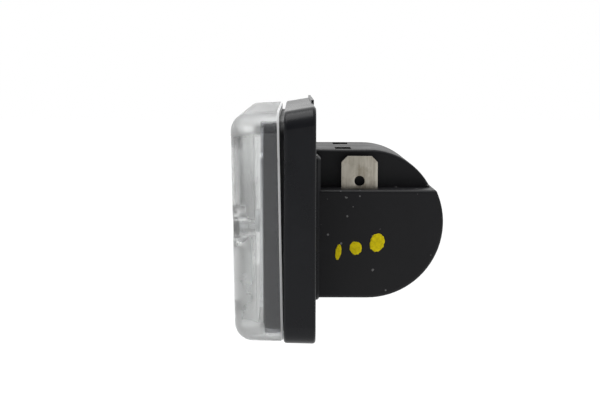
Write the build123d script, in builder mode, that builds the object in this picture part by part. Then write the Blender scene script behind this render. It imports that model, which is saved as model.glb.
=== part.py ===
# Position lamp for a vehicle panel, in millimetres.
# The panel face is at X = 0: the clear lens faces -X and the housing passes through the panel to +X.
# Y runs along the lamp's width and Z is up.
import os
from math import cos, radians, sin, tan

from build123d import *

os.makedirs("parts", exist_ok=True)

# Gasket frame
base_width = 90.0
base_height = 37.1
base_thickness = 5.1
base_top_draft = 9.5
base_bottom_draft = 1.3
base_corner_radius = 3.0
base_edge_radius = 0.5
collar_lip = 0.45
collar_top_drop = 0.7
collar_height = 1.1
collar_corner_radius = 1.2
collar_chamfer = 0.5
flash_height = 0.45
flash_thickness = 0.45
flash_start_y = -15.0
flash_end_inset = 2.0

# Housing cup, with its round back about one centre line
cup_centre_x = 9.15
cup_centre_z = -1.05
cup_radius = 13.15
cup_end_room = 4.0
upper_step = 0.95
upper_shift = 0.6
upper_setback = 3.0
ledge_rise = 5.55
cup_wall = 1.6
cup_edge_radius = 0.5
cup_fit = 0.15
window_length = 2.8
window_width = 6.8
window_x = 5.3
window_spacing = 18.4

# Front plate of the housing, inside the lens skirt
plate_thickness = 3.2
plate_clearance = 0.25
plate_corner_radius = 3.0
peg_diameter = 2.0
peg_edge = 6.0
peg_head_diameter = 3.6
peg_head_height = 0.7

# Lens
lens_side_reveal = 0.6
lens_bottom_reveal = 0.15
lens_top_reveal = 0.05
lens_depth = 7.75
lens_end_draft = 9.0
lens_top_draft = 1.0
lens_tilt = 1.2
lens_seat_gap = 0.05
lens_corner_radius = 3.3
lens_front_radius = 3.0
lens_rim_chamfer = 0.35
skirt_wall = 1.2
step_inset = 2.4
step_depth = 4.05
front_wall = 1.7
inner_corner_radius = 1.2
screw_inset = 5.0
screw_hole_diameter = 3.6
boss_diameter = 7.4
boss_length = 2.4
flute_pitch = 4.0
flute_height = 0.45
flute_margin = 5.7
bullseye_diameter = 21.0
bullseye_height = 1.2
optic_overlap = 0.4

# Reflector
sheet = 0.6
reflector_fit = 0.2
reflector_seat_gap = 0.05
reflector_end_gap = 0.3
reflector_border = 2.5
reflector_corner_radius = 2.0
peg_fit = 0.2

# Contact strips with their blade terminals
blade_width = 6.3
blade_thickness = 0.8
blade_x = 7.95
blade_height = 5.65
blade_chamfer = 1.0
blade_hole_diameter = 1.8
blade_hole_drop = 4.3
slot_fit = 0.1
leaf_width = 8.4
leaf_corner_radius = 1.5
lip_length = 1.8
lip_angle = 35.0

# Festoon bulb
bulb_length = 36.0
bulb_glass_diameter = 10.4
glass_wall = 0.6
glass_shoulder_radius = 1.2
cap_diameter = 8.5
cap_wall = 0.4
cap_length = 8.0
cap_cone_length = 2.6
cap_tip_diameter = 2.6
cap_fit = 0.1
contact_fit = 0.05
coil_length = 8.0
coil_diameter = 0.9
lead_diameter = 0.5
bulb_slot_clearance = 1.4
bulb_headroom = 1.0

# Sizes that follow from those above: the housing
base_front_x = -base_thickness
plate_front_x = base_front_x - plate_thickness
cup_width = bulb_length + 2 * cup_end_room
upper_width = bulb_length - 2 * upper_setback
upper_radius = cup_radius - upper_step
upper_centre_x = cup_centre_x + upper_shift
cup_bottom_z = cup_centre_z - cup_radius
upper_top_z = cup_centre_z + upper_radius
ledge_z = cup_centre_z + ledge_rise
lower_height = ledge_z - cup_bottom_z
full_height = upper_top_z - cup_bottom_z
cup_inner_width = cup_width - 2 * cup_wall
upper_inner_width = upper_width - 2 * cup_wall
collar_width = cup_width + 2 * collar_lip
collar_bottom_z = cup_bottom_z - collar_lip
collar_top_z = upper_top_z - collar_top_drop

# The lens
lens_width = base_width - 2 * lens_side_reveal
lens_height = base_height - lens_bottom_reveal - lens_top_reveal
lens_inner_depth = lens_depth - front_wall
plate_narrowing = 2 * (skirt_wall + plate_clearance)
screw_spacing = base_width - 2 * screw_inset
boss_end_depth = lens_depth - boss_length
flute_run_start = bullseye_diameter / 2
flute_run_end = (screw_spacing - boss_diameter) / 2
flute_group_offset = (flute_run_start + flute_run_end) / 2
flute_count = int((flute_run_end - flute_run_start) / flute_pitch)
flute_length = lens_height - 2 * flute_margin

# The reflector
trough_radius = upper_radius - cup_wall - reflector_fit
trough_width = upper_inner_width - 2 * reflector_fit
trough_top_z = cup_centre_z + trough_radius
trough_bottom_z = cup_centre_z - trough_radius
reflector_width = screw_spacing - boss_diameter - 2 * reflector_end_gap
reflector_height = 2 * (trough_radius + reflector_border)
reflector_back_x = plate_front_x - reflector_seat_gap
reflector_front_x = reflector_back_x - sheet
peg_spacing = reflector_width - 2 * peg_edge
peg_length = sheet + 2 * reflector_seat_gap
bulb_slot_width = bulb_length + 2 * bulb_slot_clearance
bulb_slot_height = bulb_glass_diameter + 2 * bulb_slot_clearance

# The contacts and the bulb
blade_top_z = ledge_z + blade_height
blade_hole_z = blade_top_z - blade_hole_drop
bulb_z = ledge_z - cup_wall - bulb_headroom - cap_diameter / 2
leaf_top_z = ledge_z - cup_wall - slot_fit
leaf_bottom_z = bulb_z - leaf_width / 2
cap_slope = (cap_diameter - cap_tip_diameter) / 2 / cap_cone_length
leaf_hole_diameter = cap_tip_diameter + blade_thickness * cap_slope
leaf_inner_y = bulb_length / 2 - blade_thickness / 2 + contact_fit
leaf_middle_y = leaf_inner_y + blade_thickness / 2
leaf_outer_y = leaf_inner_y + blade_thickness
cap_floor_y = bulb_length / 2 - cap_cone_length
cap_bore_radius = cap_diameter / 2 - cap_wall
bulb_neck_diameter = 2 * (cap_bore_radius - cap_fit)
neck_end_y = cap_floor_y - cap_fit
glass_half_length = bulb_length / 2 - cap_length
glass_inner_diameter = bulb_glass_diameter - 2 * glass_wall
neck_inner_diameter = bulb_neck_diameter - 2 * glass_wall

# The lens sits with its lower rim on the gasket and its upper rim a little proud
lens_up = (-sin(radians(lens_tilt)), 0, cos(radians(lens_tilt)))
lens_forward = (-cos(radians(lens_tilt)), 0, -sin(radians(lens_tilt)))
lens_seat_x = base_front_x - lens_seat_gap
lens_seat_z = lens_bottom_reveal - base_height / 2
lens_origin = Vector(lens_seat_x, 0, lens_seat_z) + Vector(*lens_up) * (lens_height / 2)
lens_plane = Plane(origin=lens_origin, x_dir=(0, -1, 0), z_dir=lens_forward)
lens_top_plane = Plane(origin=lens_origin, x_dir=(0, -1, 0), z_dir=lens_up)
lens_axis = Axis(lens_origin, lens_forward)
front_plane = Plane(origin=(base_front_x, 0, 0), x_dir=(0, -1, 0), z_dir=(-1, 0, 0))
bulb_plane = Plane(origin=(blade_x, 0, bulb_z), x_dir=(0, 1, 0), z_dir=(0, 0, 1))
bulb_axis = Axis((blade_x, 0, bulb_z), (0, 1, 0))


# Side section of the cup and of what nests in it: a flat start, a round back, cut between two heights
def d_section(radius, centre_x, start_x, low_z, high_z):
    with BuildSketch(Plane.XZ, mode=Mode.PRIVATE) as section:
        with Locations((centre_x, cup_centre_z)):
            Circle(radius)
            Rectangle(centre_x - start_x, 2 * radius, align=(Align.MAX, Align.CENTER))
        with Locations((start_x, low_z)):
            Rectangle(centre_x - start_x + radius, high_z - low_z, align=Align.MIN, mode=Mode.INTERSECT)
    return section.sketch


# Width and height of the lens at a depth in front of its rim, drawn in from the outer face
def lens_size(depth, inset):
    width = lens_width - 2 * (inset + depth * tan(radians(lens_end_draft)))
    height = lens_height - 2 * (inset + depth * tan(radians(lens_top_draft)))
    return width, height


# Outline of a hollow in the lens at that depth
def lens_section(depth, inset):
    corner = max(lens_corner_radius - inset, inner_corner_radius)
    with BuildSketch(lens_plane.offset(depth), mode=Mode.PRIVATE) as section:
        RectangleRounded(*lens_size(depth, inset), corner)
    return section.sketch


# Outline of the housing where it passes through the gasket, with some room all round
def cup_outline(plane, room):
    with BuildSketch(plane, mode=Mode.PRIVATE) as outline:
        with Locations((0, cup_bottom_z - room)):
            Rectangle(cup_width + 2 * room, lower_height + 2 * room, align=(Align.CENTER, Align.MIN))
            Rectangle(upper_width + 2 * room, full_height + 2 * room, align=(Align.CENTER, Align.MIN))
        fillet(outline.vertices(), cup_edge_radius + room)
    return outline.sketch


# Gasket frame: a drafted slab with a low collar that locates it in the panel's cut-out
base_half_height = base_height / 2
flash_end_y = base_width / 2 - flash_end_inset
base_back_top_z = base_half_height + base_thickness * tan(radians(base_top_draft))
base_back_bottom_z = -base_half_height - base_thickness * tan(radians(base_bottom_draft))
with BuildPart() as base_frame:
    with BuildSketch(Plane.YZ.offset(base_front_x)):
        RectangleRounded(base_width, base_height, base_corner_radius)
    with BuildSketch(Plane.YZ):
        with Locations((0, (base_back_top_z + base_back_bottom_z) / 2)):
            RectangleRounded(base_width, base_back_top_z - base_back_bottom_z, base_corner_radius)
    loft()
    fillet(base_frame.edges().group_by(Axis.X)[0], base_edge_radius)
    fillet(base_frame.edges().group_by(Axis.X)[-1], base_edge_radius)
    with BuildSketch(Plane.YZ):
        with Locations((0, (collar_top_z + collar_bottom_z) / 2)):
            RectangleRounded(collar_width, collar_top_z - collar_bottom_z, collar_corner_radius)
    extrude(amount=collar_height)
    chamfer(base_frame.faces().sort_by(Axis.X)[-1].edges(), collar_chamfer)
    passage = cup_outline(Plane.YZ.offset(base_front_x), cup_fit)
    extrude(passage, amount=base_thickness + collar_height, mode=Mode.SUBTRACT)
    with BuildSketch(Plane.YZ.offset(base_front_x)):
        with GridLocations(screw_spacing, 0, 2, 1):
            Circle(screw_hole_diameter / 2)
    extrude(amount=base_thickness, mode=Mode.SUBTRACT)
    with BuildSketch(Plane.YZ.offset(-flash_thickness)):
        with Locations((flash_start_y, base_back_top_z - base_edge_radius)):
            Rectangle(flash_end_y - flash_start_y, base_edge_radius + flash_height, align=Align.MIN)
    extrude(amount=flash_thickness)
base_frame.part.label = "base_frame"
export_step(base_frame.part, "parts/base_frame.step")

# Housing: wide round-backed cup with a narrower block above its ledge, and the plate in front
lower_block = d_section(cup_radius, cup_centre_x, base_front_x, cup_bottom_z, ledge_z)
upper_block = d_section(upper_radius, upper_centre_x, base_front_x, ledge_z, upper_top_z)
lower_cavity = d_section(cup_radius - cup_wall, cup_centre_x, plate_front_x, cup_bottom_z + cup_wall,
                         ledge_z - cup_wall)
upper_cavity = d_section(upper_radius - cup_wall, upper_centre_x, plate_front_x, cup_centre_z,
                         upper_top_z - cup_wall)
with BuildPart() as housing:
    extrude(lower_block, amount=cup_width / 2, both=True)
    near_edges = housing.faces().sort_by(Axis.Y)[0].edges().sort_by(Axis.X)[1:]
    far_edges = housing.faces().sort_by(Axis.Y)[-1].edges().sort_by(Axis.X)[1:]
    ledge_edge = housing.faces().sort_by(Axis.Z)[-1].edges().sort_by(Axis.X)[-1:]
    fillet(near_edges + far_edges + ledge_edge, cup_edge_radius)
    extrude(upper_block, amount=upper_width / 2, both=True)
    top_edges = housing.faces().sort_by(Axis.Z)[-1].edges().filter_by(Axis.X)
    round_edges = housing.edges().filter_by(GeomType.CIRCLE)
    crown_edges = round_edges.filter_by(lambda edge: abs(edge.radius - upper_radius) < cup_fit)
    fillet(top_edges + crown_edges, cup_edge_radius)
    with BuildSketch(front_plane):
        with Locations((0, lens_seat_z + lens_height / 2)):
            RectangleRounded(lens_width - plate_narrowing, lens_height - plate_narrowing, plate_corner_radius)
    extrude(amount=plate_thickness, taper=lens_end_draft)
    extrude(lower_cavity, amount=cup_inner_width / 2, both=True, mode=Mode.SUBTRACT)
    extrude(upper_cavity, amount=upper_inner_width / 2, both=True, mode=Mode.SUBTRACT)
    with BuildSketch(front_plane):
        with GridLocations(screw_spacing, 0, 2, 1):
            Circle(screw_hole_diameter / 2)
    extrude(amount=plate_thickness, mode=Mode.SUBTRACT)
    with BuildSketch(Plane.XY.offset(upper_top_z)):
        with Locations((window_x, 0)):
            with GridLocations(0, window_spacing, 1, 2):
                Rectangle(window_length, window_width)
    extrude(amount=-cup_wall, mode=Mode.SUBTRACT)
    with BuildSketch(Plane.XY.offset(ledge_z)):
        with Locations((blade_x, 0)):
            with GridLocations(0, 2 * leaf_middle_y, 1, 2):
                Rectangle(blade_width + 2 * slot_fit, blade_thickness + 2 * slot_fit)
    extrude(amount=-cup_wall, mode=Mode.SUBTRACT)
    with BuildSketch(front_plane.offset(plate_thickness)):
        with GridLocations(peg_spacing, 0, 2, 1):
            Circle(peg_diameter / 2)
    extrude(amount=peg_length)
    with BuildSketch(front_plane.offset(plate_thickness + peg_length)):
        with GridLocations(peg_spacing, 0, 2, 1):
            Circle(peg_head_diameter / 2)
    extrude(amount=peg_head_height)
    fillet(housing.faces().sort_by(Axis.X)[:2].edges(), peg_head_height / 2)
housing.part.label = "housing"
export_step(housing.part, "parts/housing.step")

# Lens: drafted cover with an inner step, screw bosses, side flutes and a round centre optic
boss_limits = lens_size(boss_end_depth, skirt_wall)
front_width = lens_size(lens_depth, 0)[0]
flute_radius = (flute_pitch**2 / 4 + flute_height**2) / (2 * flute_height)
flute_crest = lens_inner_depth - flute_height
bullseye_radius = (bullseye_diameter**2 / 4 + bullseye_height**2) / (2 * bullseye_height)
bullseye_crest = lens_inner_depth - bullseye_height
with BuildPart() as lens:
    with BuildSketch(lens_plane):
        Rectangle(lens_width, lens_height)
    extrude(amount=lens_depth, taper=lens_top_draft)
    with BuildSketch(lens_top_plane):
        Polygon((-lens_width / 2, 0), (lens_width / 2, 0), (front_width / 2, -lens_depth),
                (-front_width / 2, -lens_depth), align=None)
    extrude(amount=lens_height / 2, both=True, mode=Mode.INTERSECT)
    fillet(lens.edges().sort_by(SortBy.LENGTH)[:4], lens_corner_radius)
    fillet(lens.faces().sort_by(lens_axis)[-1].edges(), lens_front_radius)
    chamfer(lens.faces().sort_by(lens_axis)[0].edges(), lens_rim_chamfer)
    loft([lens_section(0, skirt_wall), lens_section(step_depth, skirt_wall)], mode=Mode.SUBTRACT)
    inner_step = lens_section(step_depth, step_inset)
    loft([inner_step, lens_section(lens_inner_depth, step_inset)], mode=Mode.SUBTRACT)
    with BuildSketch(lens_plane.offset(boss_end_depth)):
        with GridLocations(screw_spacing, 0, 2, 1):
            Circle(boss_diameter / 2)
        Rectangle(*boss_limits, mode=Mode.INTERSECT)
    extrude(amount=boss_length - front_wall + optic_overlap)
    with BuildSketch(lens_plane):
        with GridLocations(screw_spacing, 0, 2, 1):
            Circle(screw_hole_diameter / 2)
    extrude(amount=lens_depth, mode=Mode.SUBTRACT)
    with BuildSketch(lens_top_plane):
        with GridLocations(2 * flute_group_offset, 0, 2, 1):
            with Locations((0, -flute_crest - flute_radius)):
                with GridLocations(flute_pitch, 0, flute_count, 1):
                    Circle(flute_radius)
        with Locations((0, -flute_crest)):
            Rectangle(lens_width, flute_height + optic_overlap, align=(Align.CENTER, Align.MAX),
                      mode=Mode.INTERSECT)
    extrude(amount=flute_length / 2, both=True)
    with BuildSketch(lens_top_plane):
        with Locations((0, -bullseye_crest - bullseye_radius)):
            Circle(bullseye_radius)
        with Locations((0, -bullseye_crest)):
            Rectangle(bullseye_diameter / 2, bullseye_height + optic_overlap, align=(Align.MIN, Align.MAX),
                      mode=Mode.INTERSECT)
    revolve(axis=lens_axis)
lens.part.label = "lens"
export_step(lens.part, "parts/lens.step")

# Reflector: bright trough behind the bulb, folded from one sheet with the plate around it
trough_outer = d_section(trough_radius, cup_centre_x, reflector_front_x, trough_bottom_z, trough_top_z)
trough_inner = d_section(trough_radius - sheet, cup_centre_x, reflector_front_x, trough_bottom_z + sheet,
                         trough_top_z - sheet)
with BuildPart() as reflector:
    with BuildSketch(Plane.YZ.offset(reflector_front_x)):
        with Locations((0, cup_centre_z)):
            RectangleRounded(reflector_width, reflector_height, reflector_corner_radius)
    extrude(amount=sheet)
    extrude(trough_outer, amount=trough_width / 2, both=True)
    extrude(trough_inner, amount=trough_width / 2, both=True, mode=Mode.SUBTRACT)
    with BuildSketch(Plane.YZ.offset(reflector_front_x)):
        with Locations((0, bulb_z)):
            RectangleRounded(bulb_slot_width, bulb_slot_height, reflector_corner_radius)
        with GridLocations(peg_spacing, 0, 2, 1):
            Circle(peg_diameter / 2 + peg_fit)
    extrude(amount=sheet, mode=Mode.SUBTRACT)
reflector.part.label = "reflector"
export_step(reflector.part, "parts/reflector.step")

# Contact strips: blade above the ledge, shoulders under it, and a leaf with a hole for the bulb's cap
lip_x = blade_x - leaf_width / 2
lip_run = lip_length * cos(radians(lip_angle))
lip_rise = lip_length * sin(radians(lip_angle))
lip_height = leaf_top_z - leaf_bottom_z - 2 * leaf_corner_radius
with BuildPart() as contact_near:
    with BuildSketch(Plane.XZ.offset(leaf_middle_y)) as strip:
        with Locations((blade_x, leaf_bottom_z)):
            Rectangle(leaf_width, leaf_top_z - leaf_bottom_z, align=(Align.CENTER, Align.MIN))
        fillet(strip.vertices().group_by(Axis.Y)[0], leaf_corner_radius)
        with Locations((blade_x, leaf_top_z)):
            Rectangle(blade_width, blade_top_z - leaf_top_z, align=(Align.CENTER, Align.MIN))
        chamfer(strip.vertices().group_by(Axis.Y)[-1], blade_chamfer)
        with Locations((blade_x, blade_hole_z)):
            Circle(blade_hole_diameter / 2, mode=Mode.SUBTRACT)
        with Locations((blade_x, bulb_z)):
            Circle(leaf_hole_diameter / 2, mode=Mode.SUBTRACT)
    extrude(amount=blade_thickness / 2, both=True)
    with BuildSketch(Plane.XY.offset(leaf_bottom_z + leaf_corner_radius)):
        with BuildLine():
            lip_inner = Line((lip_x, -leaf_inner_y), (lip_x - lip_run, -leaf_inner_y - lip_rise))
            lip_outer = Line((lip_x - lip_run, -leaf_outer_y - lip_rise), (lip_x, -leaf_outer_y))
            Line(lip_inner @ 1, lip_outer @ 0)
            Line(lip_outer @ 1, lip_inner @ 0)
        make_face()
    extrude(amount=lip_height)
contact_near.part.label = "contact_near"
export_step(contact_near.part, "parts/contact_near.step")

with BuildPart() as contact_far:
    mirror(contact_near.part, about=Plane.XZ)
contact_far.part.label = "contact_far"
export_step(contact_far.part, "parts/contact_far.step")

# Festoon bulb: a necked glass tube between two caps whose cones sit in the leaf holes
on_axis = (Align.CENTER, Align.MIN)
with BuildPart() as bulb_glass:
    with BuildSketch(bulb_plane) as wall:
        Rectangle(2 * glass_half_length, bulb_glass_diameter / 2, align=on_axis)
        fillet(wall.vertices().group_by(Axis.Y)[-1], glass_shoulder_radius)
        Rectangle(2 * neck_end_y, bulb_neck_diameter / 2, align=on_axis)
        Rectangle(2 * (glass_half_length - glass_wall), glass_inner_diameter / 2, align=on_axis,
                  mode=Mode.SUBTRACT)
        Rectangle(2 * neck_end_y, neck_inner_diameter / 2, align=on_axis, mode=Mode.SUBTRACT)
    revolve(axis=bulb_axis)
bulb_glass.part.label = "bulb_glass"
export_step(bulb_glass.part, "parts/bulb_glass.step")

with BuildPart() as bulb_cap_far:
    with BuildSketch(bulb_plane):
        with BuildLine():
            Polyline((cap_floor_y, 0), (cap_floor_y, cap_bore_radius), (glass_half_length, cap_bore_radius),
                     (glass_half_length, cap_diameter / 2), (cap_floor_y, cap_diameter / 2),
                     (bulb_length / 2, cap_tip_diameter / 2), (bulb_length / 2, 0), close=True)
        make_face()
    revolve(axis=bulb_axis)
bulb_cap_far.part.label = "bulb_cap_far"
export_step(bulb_cap_far.part, "parts/bulb_cap_far.step")

with BuildPart() as bulb_cap_near:
    mirror(bulb_cap_far.part, about=Plane.XZ)
bulb_cap_near.part.label = "bulb_cap_near"
export_step(bulb_cap_near.part, "parts/bulb_cap_near.step")

# Filament: a coil on its two lead wires, which run to the caps
with BuildPart() as bulb_filament:
    with BuildSketch(bulb_plane):
        Rectangle(2 * (cap_floor_y - contact_fit), lead_diameter / 2, align=on_axis)
        Rectangle(coil_length, coil_diameter / 2, align=on_axis)
    revolve(axis=bulb_axis)
bulb_filament.part.label = "bulb_filament"
export_step(bulb_filament.part, "parts/bulb_filament.step")
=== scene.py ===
import math
import random

import bmesh
import bpy
from mathutils import Matrix, Vector


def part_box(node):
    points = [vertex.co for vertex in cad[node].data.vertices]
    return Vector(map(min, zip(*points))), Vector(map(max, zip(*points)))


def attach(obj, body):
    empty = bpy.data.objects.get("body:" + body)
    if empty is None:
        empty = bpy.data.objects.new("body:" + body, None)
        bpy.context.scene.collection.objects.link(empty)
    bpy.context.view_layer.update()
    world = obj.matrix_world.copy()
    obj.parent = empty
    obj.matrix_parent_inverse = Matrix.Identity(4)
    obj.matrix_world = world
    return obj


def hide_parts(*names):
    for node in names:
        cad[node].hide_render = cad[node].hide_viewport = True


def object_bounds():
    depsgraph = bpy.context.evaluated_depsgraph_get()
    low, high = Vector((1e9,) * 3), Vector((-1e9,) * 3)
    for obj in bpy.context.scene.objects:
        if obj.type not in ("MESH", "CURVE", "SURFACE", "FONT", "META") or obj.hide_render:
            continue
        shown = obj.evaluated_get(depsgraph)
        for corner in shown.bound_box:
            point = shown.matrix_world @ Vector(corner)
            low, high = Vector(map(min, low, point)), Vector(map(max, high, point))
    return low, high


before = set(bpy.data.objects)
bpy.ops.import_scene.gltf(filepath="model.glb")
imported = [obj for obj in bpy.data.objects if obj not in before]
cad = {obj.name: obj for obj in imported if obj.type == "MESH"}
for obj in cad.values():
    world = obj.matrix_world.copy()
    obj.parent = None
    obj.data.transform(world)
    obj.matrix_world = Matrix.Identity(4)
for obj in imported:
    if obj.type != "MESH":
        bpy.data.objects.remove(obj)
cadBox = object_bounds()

mm = 0.001
scene = bpy.context.scene
print("frame loaded with", len(cad), "nodes")


# node tree helpers
def addNode(tree, kind, **settings):
    node = tree.nodes.new(kind)
    for key, value in settings.items():
        setattr(node, key, value)
    return node


def plug(tree, source, target):
    if hasattr(source, "is_linked"):
        tree.links.new(source, target)
    else:
        target.default_value = source


def maths(tree, operation, a, b=0.0, c=0.0, clamp=False):
    node = addNode(tree, "ShaderNodeMath", operation=operation, use_clamp=clamp)
    for socket, value in zip(node.inputs, (a, b, c)):
        plug(tree, value, socket)
    return node.outputs[0]


def mixColour(tree, factor, a, b):
    node = addNode(tree, "ShaderNodeMix", data_type="RGBA")
    plug(tree, factor, node.inputs["Factor"])
    # inputs 6 and 7 and output 2 are the node's colour sockets
    plug(tree, a, node.inputs[6])
    plug(tree, b, node.inputs[7])
    return node.outputs[2]


def remap(tree, value, low, high, toLow, toHigh):
    node = addNode(tree, "ShaderNodeMapRange")
    for socket, item in zip(node.inputs, (value, low, high, toLow, toHigh)):
        plug(tree, item, socket)
    return node.outputs[0]


def ramp(tree, value, span):
    return remap(tree, value, *span, 0.0, 1.0)


def objectPoint(tree, stretch=(1, 1, 1)):
    coords = addNode(tree, "ShaderNodeTexCoord")
    mapping = addNode(tree, "ShaderNodeMapping")
    mapping.inputs["Scale"].default_value = stretch
    tree.links.new(coords.outputs["Object"], mapping.inputs["Vector"])
    return mapping.outputs[0]


def noise(tree, point, scale, detail, roughness):
    node = addNode(tree, "ShaderNodeTexNoise")
    tree.links.new(point, node.inputs["Vector"])
    plug(tree, scale, node.inputs["Scale"])
    node.inputs["Detail"].default_value = detail
    node.inputs["Roughness"].default_value = roughness
    return node.outputs["Fac"]


def newGroup(name, inputs, outputs):
    group = bpy.data.node_groups.new(name, "ShaderNodeTree")
    for way, labels in (("INPUT", inputs), ("OUTPUT", outputs)):
        for label in labels:
            group.interface.new_socket(name=label, in_out=way, socket_type="NodeSocketFloat")
    return group, addNode(group, "NodeGroupInput").outputs, addNode(group, "NodeGroupOutput").inputs


def useGroup(tree, group, **values):
    node = addNode(tree, "ShaderNodeGroup", node_tree=group)
    for label, value in values.items():
        plug(tree, value, node.inputs[label])
    return node.outputs


def emptyTree(owner):
    owner.use_nodes = True
    owner.node_tree.nodes.clear()
    return owner.node_tree


def newMaterial(name):
    material = bpy.data.materials.new(name)
    tree = emptyTree(material)
    shader = addNode(tree, "ShaderNodeBsdfPrincipled")
    output = addNode(tree, "ShaderNodeOutputMaterial")
    tree.links.new(shader.outputs[0], output.inputs[0])
    return material, tree, shader.inputs


def bump(tree, height, strength, distance):
    node = addNode(tree, "ShaderNodeBump")
    node.inputs["Strength"].default_value = strength
    node.inputs["Distance"].default_value = distance
    tree.links.new(height, node.inputs["Height"])
    return node.outputs[0]


# mesh and object helpers
def addObject(name, data):
    item = bpy.data.objects.new(name, data)
    scene.collection.objects.link(item)
    return item


# one smooth closed mesh from stacks of rings, each stack a solid of its own
def ringMesh(name, stacks):
    mesh = bpy.data.meshes.new(name)
    build = bmesh.new()
    for stack in stacks:
        rings = [[build.verts.new(point) for point in ring] for ring in stack]
        for first, second in zip(rings, rings[1:]):
            for k, corner in enumerate(first):
                following = (k + 1) % len(first)
                build.faces.new((corner, first[following], second[following], second[k]))
        build.faces.new(rings[0])
        build.faces.new(rings[-1])
    bmesh.ops.recalc_face_normals(build, faces=build.faces)
    build.to_mesh(mesh)
    build.free()
    mesh.shade_smooth()
    return mesh


# fine mould texture with slow changes of tone over it
mouldValues = {"fine": {"detail": 4.0, "roughness": 0.7}, "patch": {"detail": 4.0, "roughness": 0.6},
               "toneSpan": (0.3, 0.7)}


def makeMouldGrain(values):
    group, given, out = newGroup("mouldGrain", ("Scale", "Patch"), ("Height", "Tone"))
    point = objectPoint(group)
    fine = noise(group, point, given["Scale"], **values["fine"])
    patch = noise(group, point, given["Patch"], **values["patch"])
    group.links.new(fine, out["Height"])
    group.links.new(ramp(group, patch, values["toneSpan"]), out["Tone"])
    return group


# scattered pale specks: a few cells of a cell pattern, each with a small round dot
def makeDustSpecks():
    group, given, out = newGroup("dustSpecks", ("Scale", "Amount", "Size"), ("Mask",))
    cells = addNode(group, "ShaderNodeTexVoronoi")
    group.links.new(objectPoint(group), cells.inputs["Vector"])
    group.links.new(given["Scale"], cells.inputs["Scale"])
    pick = addNode(group, "ShaderNodeSeparateColor")
    group.links.new(cells.outputs["Color"], pick.inputs["Color"])
    chosen = maths(group, "LESS_THAN", pick.outputs["Red"], given["Amount"])
    reach = maths(group, "MULTIPLY", given["Size"], pick.outputs["Green"])
    dot = maths(group, "LESS_THAN", cells.outputs["Distance"], reach)
    group.links.new(maths(group, "MULTIPLY", chosen, dot), out["Mask"])
    return group


# long drawn streaks along Z, as rolling and stamping leave on strip metal
streakValues = {"fine": {"detail": 5.0, "roughness": 0.7}, "fineStretch": (1, 1, 0.05),
                "broad": {"detail": 3.0, "roughness": 0.5}, "broadStretch": (1, 1, 0.35),
                "broadScale": 0.3, "broadSpan": (0.35, 0.65)}


def makeDrawnStreaks(values):
    group, given, out = newGroup("drawnStreaks", ("Scale",), ("Fine", "Broad"))
    fine = noise(group, objectPoint(group, values["fineStretch"]), given["Scale"], **values["fine"])
    broadScale = maths(group, "MULTIPLY", given["Scale"], values["broadScale"])
    broad = noise(group, objectPoint(group, values["broadStretch"]), broadScale, **values["broad"])
    group.links.new(fine, out["Fine"])
    group.links.new(ramp(group, broad, values["broadSpan"]), out["Broad"])
    return group


mouldGrain = makeMouldGrain(mouldValues)
dustSpecks = makeDustSpecks()
drawnStreaks = makeDrawnStreaks(streakValues)
print("shared effects made")


# gasket frame: soft black rubber, a little blue, with a dusty bloom
gasketLook = {"deep": (0.003, 0.0035, 0.0052, 1), "worn": (0.008, 0.0086, 0.011, 1),
              "dust": (0.16, 0.16, 0.155, 1), "roughness": (0.24, 0.34), "specular": 0.22,
              "grain": {"Scale": 5200.0, "Patch": 140.0}, "grainBump": 0.35, "grainDepth": 0.02 * mm,
              "specks": {"Scale": 260.0, "Amount": 0.16, "Size": 0.11}}

# housing: satin black moulding, duller than the gasket, with pale scuffs
housingLook = {"deep": (0.0034, 0.0034, 0.0046, 1), "worn": (0.0075, 0.0075, 0.0092, 1),
               "dust": (0.14, 0.14, 0.14, 1), "roughness": (0.36, 0.5), "specular": 0.26,
               "grain": {"Scale": 9000.0, "Patch": 110.0}, "grainBump": 0.4, "grainDepth": 0.015 * mm,
               "specks": {"Scale": 900.0, "Amount": 0.22, "Size": 0.32}}


def makeBlackMoulding(name, look):
    material, tree, inputs = newMaterial(name)
    grain = useGroup(tree, mouldGrain, **look["grain"])
    specks = useGroup(tree, dustSpecks, **look["specks"])
    colour = mixColour(tree, grain["Tone"], look["deep"], look["worn"])
    plug(tree, mixColour(tree, specks["Mask"], colour, look["dust"]), inputs["Base Color"])
    plug(tree, remap(tree, grain["Tone"], 0, 1, *look["roughness"]), inputs["Roughness"])
    plug(tree, look["specular"], inputs["Specular IOR Level"])
    plug(tree, bump(tree, grain["Height"], look["grainBump"], look["grainDepth"]), inputs["Normal"])
    return material


# lens: clear acrylic with painted shade over the plate, a painted bright line, hazy at its ends, matt above
# and below with painted shade there, painted shade in the bore mouths
# depth counts forward from the rim, level up from the middle, both in mm along the tilted lens
# the skirt, band, edge and bore colours here are painted shade; the step from the band to the front paints a
# bright line
lensLook = {"skirt": (0.35, 0.355, 0.37, 1), "paintedShadeBand": (0.84, 0.85, 0.85, 1), "front": (0.95, 0.96, 0.955, 1),
            "edgePaintedShade": (0.86, 0.87, 0.87, 1), "paintedBoreShade": (0.04, 0.04, 0.038, 1),
            "tilt": 1.2, "rim": (-5.536, 0.05),  # rim: X and Z of its middle
            "pale": (2.75, 3.05), "line": (3.56, 3.66), "haze": (4.0, 4.8), "mouth": 6.35,  # depths
            "shoulder": (14.6, 15.4), "edges": (16.6, 17.3),  # levels
            "boreY": 40.0, "boreRadius": 1.9, "clearRadius": 1.95,
            "ends": (-2.0, 1.0),  # counted outwards from the bores
            "roughness": (0.04, 0.1), "endRoughness": (0.2, 0.32), "edgeRoughness": 0.45,
            "index": 1.49, "clarity": 0.9,
            "flow": {"Scale": 240.0, "Patch": 90.0}, "flowBump": 0.25, "flowDepth": 0.012 * mm}


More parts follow.
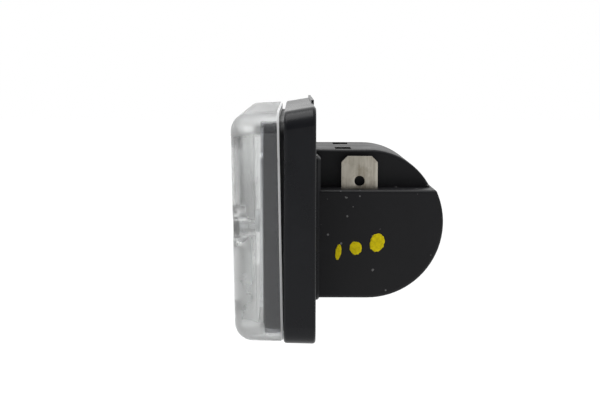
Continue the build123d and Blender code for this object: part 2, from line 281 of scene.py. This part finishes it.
def makeClearAcrylic(look):
    material, tree, inputs = newMaterial("clearAcrylic")
    flow = useGroup(tree, mouldGrain, **look["flow"])
    lean = math.radians(look["tilt"])
    rimX, rimZ = look["rim"]
    axes = addNode(tree, "ShaderNodeSeparateXYZ")
    tree.links.new(objectPoint(tree, (1 / mm, 1 / mm, 1 / mm)), axes.inputs[0])
    ahead = maths(tree, "SUBTRACT", rimX, axes.outputs["X"])
    height = maths(tree, "SUBTRACT", axes.outputs["Z"], rimZ)
    depth = maths(tree, "MULTIPLY_ADD", height, -math.sin(lean), ahead)
    level = maths(tree, "MULTIPLY_ADD", depth, math.sin(lean), height)
    rise = maths(tree, "ABSOLUTE", level)
    across = maths(tree, "SUBTRACT", maths(tree, "ABSOLUTE", axes.outputs["Y"]), look["boreY"])
    acrossSquare = maths(tree, "POWER", across, 2)
    levelSquare = maths(tree, "POWER", level, 2)
    reach = maths(tree, "SQRT", maths(tree, "ADD", acrossSquare, levelSquare))
    # tones, all painted shade: dark skirt over the plate, a greyer band that paints the bright line beside
    # it, grey walls above and below, dark bore mouths
    # painted shade: the skirt over the plate is coloured dark grey, then a greyer band up to the painted
    # bright line, then the pale front
    pale = ramp(tree, depth, look["pale"])
    clear = mixColour(tree, ramp(tree, depth, look["line"]), look["paintedShadeBand"], look["front"])
    colour = mixColour(tree, pale, look["skirt"], clear)
    # painted shade: the walls above and below are coloured greyer than the front
    edges = ramp(tree, rise, look["edges"])
    colour = mixColour(tree, edges, colour, look["edgePaintedShade"])
    # painted shade: the front part of each bore is coloured near black
    inBore = maths(tree, "LESS_THAN", reach, look["boreRadius"])
    inBore = maths(tree, "MULTIPLY", inBore, maths(tree, "GREATER_THAN", depth, look["mouth"]))
    plug(tree, mixColour(tree, inBore, colour, look["paintedBoreShade"]), inputs["Base Color"])
    # finish: polished, hazy at the ends, matt on the shoulders and edges
    hazeMask = ramp(tree, depth, look["haze"])
    hazeMask = maths(tree, "MULTIPLY", hazeMask, maths(tree, "GREATER_THAN", reach, look["clearRadius"]))
    hazeMask = maths(tree, "MULTIPLY", hazeMask, ramp(tree, across, look["ends"]))
    polished = remap(tree, flow["Tone"], 0, 1, *look["roughness"])
    hazy = remap(tree, flow["Tone"], 0, 1, *look["endRoughness"])
    finish = remap(tree, hazeMask, 0, 1, polished, hazy)
    shoulder = maths(tree, "MULTIPLY", pale, ramp(tree, rise, look["shoulder"]))
    mattMask = maths(tree, "MAXIMUM", edges, shoulder)
    plug(tree, remap(tree, mattMask, 0, 1, finish, look["edgeRoughness"]), inputs["Roughness"])
    plug(tree, look["index"], inputs["IOR"])
    plug(tree, look["clarity"], inputs["Transmission Weight"])
    plug(tree, bump(tree, flow["Height"], look["flowBump"], look["flowDepth"]), inputs["Normal"])
    return material


# contact strips: dull tin plate with warm stains and stamping streaks
tinLook = {"tin": (0.44, 0.41, 0.345, 1), "stain": (0.26, 0.22, 0.16, 1), "bright": (0.62, 0.585, 0.51, 1),
           "streaks": 1500.0, "score": {"low": 0.5, "high": 0.7, "toLow": 0.0, "toHigh": 0.7},
           "blotch": {"scale": 420.0, "detail": 5.0, "roughness": 0.65},
           "blotchSpan": {"low": 0.5, "high": 0.72, "toLow": 0.0, "toHigh": 0.75},
           "fineSpan": (0.3, 0.7), "roughness": (0.3, 0.48), "streakBump": 0.3, "streakDepth": 0.02 * mm,
           "weld": 0.001 * mm, "edge": 0.14 * mm, "edgeSteps": 2, "edgeAngle": 40, "edgeGain": 1.35,
           "edgeRoughness": (0.2, 0.3)}


def makeTinPlate(name, look):
    material, tree, inputs = newMaterial(name)
    streaks = useGroup(tree, drawnStreaks, Scale=look["streaks"])
    base = mixColour(tree, streaks["Broad"], look["tin"], look["bright"])
    base = mixColour(tree, remap(tree, streaks["Fine"], **look["score"]), base, look["stain"])
    blotches = noise(tree, objectPoint(tree), **look["blotch"])
    stained = remap(tree, blotches, **look["blotchSpan"])
    plug(tree, mixColour(tree, stained, base, look["stain"]), inputs["Base Color"])
    plug(tree, 1.0, inputs["Metallic"])
    rough = remap(tree, streaks["Fine"], *look["fineSpan"], *look["roughness"])
    plug(tree, rough, inputs["Roughness"])
    plug(tree, bump(tree, streaks["Fine"], look["streakBump"], look["streakDepth"]), inputs["Normal"])
    return material


def coinEdges(look, *names):
    bright = dict(look, roughness=look["edgeRoughness"])
    for key in ("tin", "bright"):
        bright[key] = tuple(min(1.0, level * look["edgeGain"]) for level in look[key])
    tinEdge = makeTinPlate("tinEdge", bright)
    for name in names:
        strip = cad[name]
        strip.data.materials.append(tinEdge)
        strip.modifiers.new("join", "WELD").merge_threshold = look["weld"]
        edge = strip.modifiers.new("coin", "BEVEL")
        edge.width = look["edge"]
        edge.segments = look["edgeSteps"]
        edge.limit_method = "ANGLE"
        edge.angle_limit = math.radians(look["edgeAngle"])
        edge.material = 1  # the slot added above


# reflector: bright rolled sheet
reflectorLook = {"bright": (0.86, 0.87, 0.88, 1), "dull": (0.72, 0.73, 0.74, 1), "streaks": 700.0,
                 "fineSpan": (0.3, 0.7), "roughness": (0.12, 0.26), "streakBump": 0.15,
                 "streakDepth": 0.01 * mm}


def makeBrightSheet(look):
    material, tree, inputs = newMaterial("brightSheet")
    streaks = useGroup(tree, drawnStreaks, Scale=look["streaks"])
    plug(tree, mixColour(tree, streaks["Broad"], look["bright"], look["dull"]), inputs["Base Color"])
    plug(tree, 1.0, inputs["Metallic"])
    rough = remap(tree, streaks["Fine"], *look["fineSpan"], *look["roughness"])
    plug(tree, rough, inputs["Roughness"])
    plug(tree, bump(tree, streaks["Fine"], look["streakBump"], look["streakDepth"]), inputs["Normal"])
    return material


# bulb: clear glass, nickel caps, grey tungsten
bulbLook = {"glass": (0.97, 0.985, 0.98, 1), "glassIndex": 1.5, "glassRoughness": (0.01, 0.035),
            "flow": {"Scale": 320.0, "Patch": 150.0},
            "cap": (0.66, 0.64, 0.6, 1), "capShade": (0.5, 0.48, 0.43, 1), "capRoughness": 0.28,
            "wire": (0.3, 0.29, 0.28, 1), "wireShade": (0.19, 0.18, 0.18, 1), "wireRoughness": 0.35}

# grain that all the plated and drawn metals share
platedGrain = {"grain": {"Scale": 2600.0, "Patch": 420.0}, "span": (0.3, 0.7), "spread": 0.14,
               "bump": 0.2, "depth": 0.01 * mm}


def makeBulbClear(look):
    material, tree, inputs = newMaterial("bulbClear")
    flow = useGroup(tree, mouldGrain, **look["flow"])
    plug(tree, look["glass"], inputs["Base Color"])
    plug(tree, remap(tree, flow["Tone"], 0, 1, *look["glassRoughness"]), inputs["Roughness"])
    plug(tree, look["glassIndex"], inputs["IOR"])
    plug(tree, 1.0, inputs["Transmission Weight"])
    return material


def makePlatedMetal(name, plain, shade, roughness):
    material, tree, inputs = newMaterial(name)
    grain = useGroup(tree, mouldGrain, **platedGrain["grain"])
    plug(tree, mixColour(tree, grain["Tone"], plain, shade), inputs["Base Color"])
    plug(tree, 1.0, inputs["Metallic"])
    rough = remap(tree, grain["Height"], *platedGrain["span"], roughness, roughness + platedGrain["spread"])
    plug(tree, rough, inputs["Roughness"])
    plug(tree, bump(tree, grain["Height"], platedGrain["bump"], platedGrain["depth"]), inputs["Normal"])
    return material


# ink dabs: thick yellow marker paint
inkLook = {"full": (0.92, 0.76, 0.004, 1), "thin": (0.6, 0.48, 0.003, 1), "roughness": 0.5, "specular": 0.12,
           "grain": {"Scale": 3800.0, "Patch": 1500.0}, "grainBump": 0.3, "grainDepth": 0.01 * mm}


def makeMarkerPaint(look):
    material, tree, inputs = newMaterial("markerPaint")
    grain = useGroup(tree, mouldGrain, **look["grain"])
    plug(tree, mixColour(tree, grain["Tone"], look["full"], look["thin"]), inputs["Base Color"])
    plug(tree, look["roughness"], inputs["Roughness"])
    plug(tree, look["specular"], inputs["Specular IOR Level"])
    plug(tree, bump(tree, grain["Height"], look["grainBump"], look["grainDepth"]), inputs["Normal"])
    return material


def dress(material, *names):
    for name in names:
        slots = cad[name].data.materials
        slots.clear()
        slots.append(material)


tungsten = makePlatedMetal("tungsten", bulbLook["wire"], bulbLook["wireShade"], bulbLook["wireRoughness"])
nickel = makePlatedMetal("capNickel", bulbLook["cap"], bulbLook["capShade"], bulbLook["capRoughness"])
dress(makeBlackMoulding("gasketRubber", gasketLook), "base_frame")
dress(makeBlackMoulding("housingPlastic", housingLook), "housing")
dress(makeClearAcrylic(lensLook), "lens")
dress(makeTinPlate("tinPlate", tinLook), "contact_near", "contact_far")
coinEdges(tinLook, "contact_near", "contact_far")
dress(makeBrightSheet(reflectorLook), "reflector")
dress(makeBulbClear(bulbLook), "bulb_glass")
dress(nickel, "bulb_cap_near", "bulb_cap_far")
dress(tungsten, "bulb_filament")
print("materials set")


# filament: a fine coil that sags a little between its two lead wires
filament = {"turns": 26, "pointsPerTurn": 14, "wire": 0.07 * mm, "lead": 0.2 * mm, "sag": 0.35 * mm,
            "share": 0.27, "flatten": 0.9, "leadBend": 1.6, "roundness": 2}


def makeFilament(values):
    low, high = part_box("bulb_filament")
    middle = (low + high) / 2
    halfCoil = (high.y - low.y) * values["share"] / 2
    radius = (high.z - low.z) / 2 - values["wire"]
    curve = bpy.data.curves.new("filament_wire", "CURVE")
    curve.dimensions = "3D"
    curve.bevel_depth = 1.0  # each point's radius gives the thickness
    curve.bevel_resolution = values["roundness"]
    curve.use_fill_caps = True
    count = values["turns"] * values["pointsPerTurn"]
    coil = []
    for step in range(count + 1):
        along = step / count * 2 - 1
        angle = step / values["pointsPerTurn"] * math.tau
        drop = values["sag"] * (1 - along * along)
        coil.append(middle + Vector((radius * math.cos(angle), along * halfCoil,
                                     radius * math.sin(angle) * values["flatten"] - drop)))
    wires = [(coil, values["wire"])]
    for endY, side, coilEnd in ((low.y, -1, coil[0]), (high.y, 1, coil[-1])):
        elbow = Vector((middle.x, middle.y + side * halfCoil * values["leadBend"], middle.z))
        wires.append(([Vector((middle.x, endY, middle.z)), elbow, coilEnd], values["lead"]))
    for points, thickness in wires:
        spline = curve.splines.new("POLY")
        spline.points.add(len(points) - 1)
        for target, point in zip(spline.points, points):
            target.co = (*point, 1)
            target.radius = thickness
    curve.materials.append(tungsten)
    wire = addObject("filament_wire", curve)
    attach(wire, "root")
    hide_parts("bulb_filament")


makeFilament(filament)
print("filament wound")


# dull push-on metal caps over the two pegs that hold the reflector
pegCaps = {"search": 0.6 * mm, "skirt": 0.7 * mm, "play": 0.03 * mm, "wall": 0.1 * mm, "crown": 0.35 * mm,
           "crownSteps": 4, "corners": 40, "sharp": 40, "plain": (0.8, 0.81, 0.82, 1),
           "shade": (0.7, 0.71, 0.72, 1), "roughness": 0.55}


def makePegCaps(values):
    spots = [vertex.co for vertex in cad["housing"].data.vertices]
    front = min(spot.x for spot in spots)
    top = front - values["play"] - values["wall"]
    back = front + values["skirt"]
    turns = [corner / values["corners"] * math.tau for corner in range(values["corners"])]
    stacks = []
    for side in (-1, 1):
        head = [spot for spot in spots if spot.x < front + values["search"] and spot.y * side > 0]
        lowY, highY = min(spot.y for spot in head), max(spot.y for spot in head)
        middleY = (lowY + highY) / 2
        middleZ = (min(spot.z for spot in head) + max(spot.z for spot in head)) / 2
        inner = (highY - lowY) / 2 + values["play"]
        outer = inner + values["wall"]
        profile = []
        for step in range(values["crownSteps"] + 1):
            bend = step / values["crownSteps"] * math.pi / 2
            profile.append((outer - values["crown"] * (1 - math.sin(bend)),
                            top + values["crown"] * (1 - math.cos(bend))))
        profile += [(outer, back), (inner, back), (inner, front - values["play"])]
        stacks.append([[(x, middleY + radius * math.cos(turn), middleZ + radius * math.sin(turn))
                        for turn in turns] for radius, x in profile])
    mesh = ringMesh("peg_caps", stacks)
    mesh.set_sharp_from_angle(angle=math.radians(values["sharp"]))
    dullCap = makePlatedMetal("dullCap", values["plain"], values["shade"], values["roughness"])
    mesh.materials.append(dullCap)
    caps = addObject("peg_caps", mesh)
    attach(caps, "root")


makePegCaps(pegCaps)
print("peg caps pushed on")


# rim of the lens: a thin matt film on the narrow bevel, where the moulding was trimmed; its near-white
# colour is also a painted highlight for the light the lens carries to its rim
rimFilm = {"lift": 0.012 * mm, "thickness": 0.01 * mm, "weld": 0.001 * mm, "reach": (-0.02, 0.4),
           "facing": (-0.9, -0.45), "colour": (0.96, 0.965, 0.97, 1), "shade": (0.88, 0.885, 0.89, 1),
           "grain": {"Scale": 4200.0, "Patch": 260.0}, "span": (0.3, 0.7), "roughness": (0.5, 0.7),
           "clarity": 0.05}


def makeMattRimHighlight(values):
    material, tree, inputs = newMaterial("mattRimHighlight")
    grain = useGroup(tree, mouldGrain, **values["grain"])
    # painted highlight: the film is coloured near white and almost opaque, standing in for light carried
    # along inside the lens to its trimmed rim
    plug(tree, mixColour(tree, grain["Tone"], values["colour"], values["shade"]), inputs["Base Color"])
    rough = remap(tree, grain["Height"], *values["span"], *values["roughness"])
    plug(tree, rough, inputs["Roughness"])
    plug(tree, lensLook["index"], inputs["IOR"])
    plug(tree, values["clarity"], inputs["Transmission Weight"])
    return material


def makeRimFilm(values):
    lean = math.radians(lensLook["tilt"])
    ahead = Vector((-math.cos(lean), 0, -math.sin(lean)))
    seat = Vector((lensLook["rim"][0] * mm, 0, lensLook["rim"][1] * mm))
    source = cad["lens"].data
    mesh = bpy.data.meshes.new("lens_rim_film")
    build = bmesh.new()
    spots = {}
    lowReach, highReach = (limit * mm for limit in values["reach"])
    lowFacing, highFacing = values["facing"]
    for face in source.polygons:
        depth = (face.center - seat).dot(ahead)
        if not (lowReach < depth < highReach and lowFacing < face.normal.dot(ahead) < highFacing):
            continue
        corners = []
        for index in face.vertices:
            place = source.vertices[index].co
            key = tuple(round(axis / values["weld"]) for axis in place)
            if key not in spots:
                spots[key] = build.verts.new(place + face.normal * values["lift"])
            corners.append(spots[key])
        if len(set(corners)) == len(corners):
            build.faces.new(corners)
    build.to_mesh(mesh)
    build.free()
    print("rim film faces", len(mesh.polygons))
    mesh.materials.append(makeMattRimHighlight(values))
    film = addObject("lens_rim_film", mesh)
    body = film.modifiers.new("body", "SOLIDIFY")
    body.thickness = values["thickness"]
    body.offset = 1.0  # outwards only
    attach(film, "root")


makeRimFilm(rimFilm)
print("rim film laid")


# three dabs of marker paint on the near side of the cup: place (X, Z), half sizes and turn
inkDabs = {"dabs": (((4.2, -6.2), (0.55, 1.5), -8),
                    ((7.2, -5.5), (1.15, 1.25), 10),
                    ((10.9, -4.6), (1.35, 1.75), -14)),
           "rings": ((1.0, 0.0), (0.93, 0.7), (0.6, 1.0)),  # size and lift of each ring, as shares
           "height": 0.03 * mm, "corners": 28, "raggedness": 0.14, "seed": 7, "behind": 1 * mm}


def makeInkDabs(values):
    rng = random.Random(values["seed"])
    spots = [vertex.co for vertex in cad["housing"].data.vertices]
    nearY = -max(abs(spot.y) for spot in spots if spot.x > values["behind"])
    stacks = []
    for (x, z), (halfX, halfZ), turn in values["dabs"]:
        ripple = [rng.uniform(1 - values["raggedness"], 1) for _ in range(values["corners"])]
        lay = Matrix.Rotation(math.radians(turn), 2)
        stack = []
        for inset, lift in values["rings"]:
            y = nearY - lift * values["height"]
            ring = []
            for corner, wobble in enumerate(ripple):
                angle = corner / values["corners"] * math.tau
                spot = lay @ Vector((halfX * math.cos(angle), halfZ * math.sin(angle)))
                spot = spot * inset * wobble * mm
                ring.append((x * mm + spot.x, y, z * mm + spot.y))
            stack.append(ring)
        stacks.append(stack)
    mesh = ringMesh("ink_dabs", stacks)
    mesh.materials.append(makeMarkerPaint(inkLook))
    dabs = addObject("ink_dabs", mesh)
    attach(dabs, "root")


makeInkDabs(inkDabs)
print("ink dabs painted")


# floor below the hanging lamp, white to the camera with a trace of shadow
floorLook = {"drop": 60 * mm, "half": 3.0, "colour": (0.86, 0.86, 0.86, 1), "veil": 0.8, "glow": 1.14}


def makeFloor(values):
    level = cadBox[0][2] - values["drop"]
    mesh = bpy.data.meshes.new("floor")
    half = values["half"]
    corners = ((-half, -half), (half, -half), (half, half), (-half, half))
    mesh.from_pydata([(x, y, level) for x, y in corners], [], [(0, 1, 2, 3)])
    material = bpy.data.materials.new("paleFloor")
    tree = emptyTree(material)
    matt = addNode(tree, "ShaderNodeBsdfDiffuse")
    matt.inputs["Color"].default_value = values["colour"]
    glow = addNode(tree, "ShaderNodeEmission")
    glow.inputs["Strength"].default_value = values["glow"]
    path = addNode(tree, "ShaderNodeLightPath")
    seen = maths(tree, "MAXIMUM", path.outputs["Is Camera Ray"], path.outputs["Is Transmission Ray"])
    seen = maths(tree, "MAXIMUM", seen, path.outputs["Is Glossy Ray"])
    mix = addNode(tree, "ShaderNodeMixShader")
    tree.links.new(maths(tree, "MULTIPLY", seen, values["veil"]), mix.inputs[0])
    tree.links.new(matt.outputs[0], mix.inputs[1])
    tree.links.new(glow.outputs[0], mix.inputs[2])
    output = addNode(tree, "ShaderNodeOutputMaterial")
    tree.links.new(mix.outputs[0], output.inputs[0])
    mesh.materials.append(material)
    floor = addObject("floor", mesh)


# studio: white backdrop to the camera, softer light from the camera's side than from behind and above
studio = {"level": 0.58, "fromBehind": 0.4, "fromAbove": 0.2, "through": 0.7, "white": (1, 1, 1, 1),
          "softboxPlace": (-0.25, -0.1, 0.75), "softboxSize": 0.7, "softboxPower": 5.0}


def makeStudio(values):
    world = bpy.data.worlds.new("studio")
    scene.world = world
    tree = emptyTree(world)
    coords = addNode(tree, "ShaderNodeTexCoord")
    axes = addNode(tree, "ShaderNodeSeparateXYZ")
    tree.links.new(coords.outputs["Generated"], axes.inputs[0])
    level = maths(tree, "MULTIPLY_ADD", axes.outputs["Y"], values["fromBehind"], values["level"])
    level = maths(tree, "MULTIPLY_ADD", axes.outputs["Z"], values["fromAbove"], level, clamp=True)
    path = addNode(tree, "ShaderNodeLightPath")
    strength = addNode(tree, "ShaderNodeMix")
    through = maths(tree, "MULTIPLY", path.outputs["Is Transmission Ray"], values["through"])
    tree.links.new(maths(tree, "MAXIMUM", path.outputs["Is Camera Ray"], through), strength.inputs[0])
    tree.links.new(level, strength.inputs[2])
    strength.inputs[3].default_value = 1.0  # full white where the camera sees it
    background = addNode(tree, "ShaderNodeBackground")
    background.inputs["Color"].default_value = values["white"]
    tree.links.new(strength.outputs[0], background.inputs["Strength"])
    output = addNode(tree, "ShaderNodeOutputWorld")
    tree.links.new(background.outputs[0], output.inputs[0])
    lamp = bpy.data.lights.new("softbox", "AREA")
    lamp.size = values["softboxSize"]
    lamp.energy = values["softboxPower"]
    softbox = addObject("softbox", lamp)
    softbox.location = values["softboxPlace"]
    softbox.rotation_euler = (-Vector(values["softboxPlace"])).to_track_quat("-Z", "Y").to_euler()


# camera: a short telephoto look along the lamp's length, from a little above
cameraView = {"place": (-3.67, -288.82, 24.83), "pitch": 4.759, "yaw": 0.264, "roll": 0.138,
              "lens": 93.27, "nearest": 0.01}


def makeCamera(values):
    pitch, yaw, roll = (math.radians(values[key]) for key in ("pitch", "yaw", "roll"))
    forward = Vector((math.sin(yaw) * math.cos(pitch), math.cos(yaw) * math.cos(pitch), -math.sin(pitch)))
    right = forward.cross(Vector((0, 0, 1))).normalized()
    up = right.cross(forward)
    right, up = right * math.cos(roll) + up * math.sin(roll), up * math.cos(roll) - right * math.sin(roll)
    turn = Matrix((right, up, -forward)).transposed().to_4x4()
    data = bpy.data.cameras.new("camera")
    data.lens = values["lens"]
    data.clip_start = values["nearest"]
    camera = addObject("camera", data)
    camera.matrix_world = Matrix.Translation(Vector(values["place"]) * mm) @ turn
    scene.camera = camera


makeFloor(floorLook)
makeStudio(studio)
makeCamera(cameraView)
scene.view_settings.view_transform = "Standard"
print("studio and camera set")
